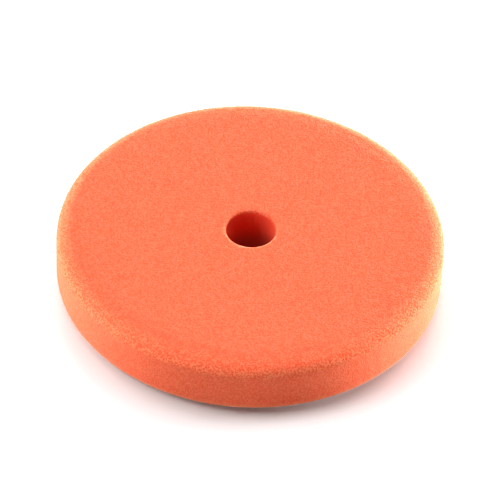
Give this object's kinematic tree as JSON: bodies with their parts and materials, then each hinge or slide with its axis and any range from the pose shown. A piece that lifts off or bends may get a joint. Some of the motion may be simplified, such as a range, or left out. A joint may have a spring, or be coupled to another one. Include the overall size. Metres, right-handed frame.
{
  "type": "polishing pad",
  "caption": "Round orange foam polishing pad with a rounded working edge, a straight central hole and a hook-and-loop back, for a machine polisher.",
  "frame": {"origin": "centre of the loop side of the backing, on the pad's axis, where the pad rests or takes a backing plate", "axes": "+Z along the pad's axis, from the loop side out of the foam's working face; X and Y lie in the plane of the backing, and the pad is round about Z"},
  "size_m": [0.155, 0.155, 0.025],
  "materials": {
    "foam": "matte",
    "adhesive": "satin",
    "ground_cloth": "matte",
    "loops": "matte"
  },
  "bodies": {
    "root": {"foam_disc": "foam", "adhesive_film": "adhesive", "backing_cloth": "ground_cloth", "loop_pile": "loops"}
  },
  "joints": []
}
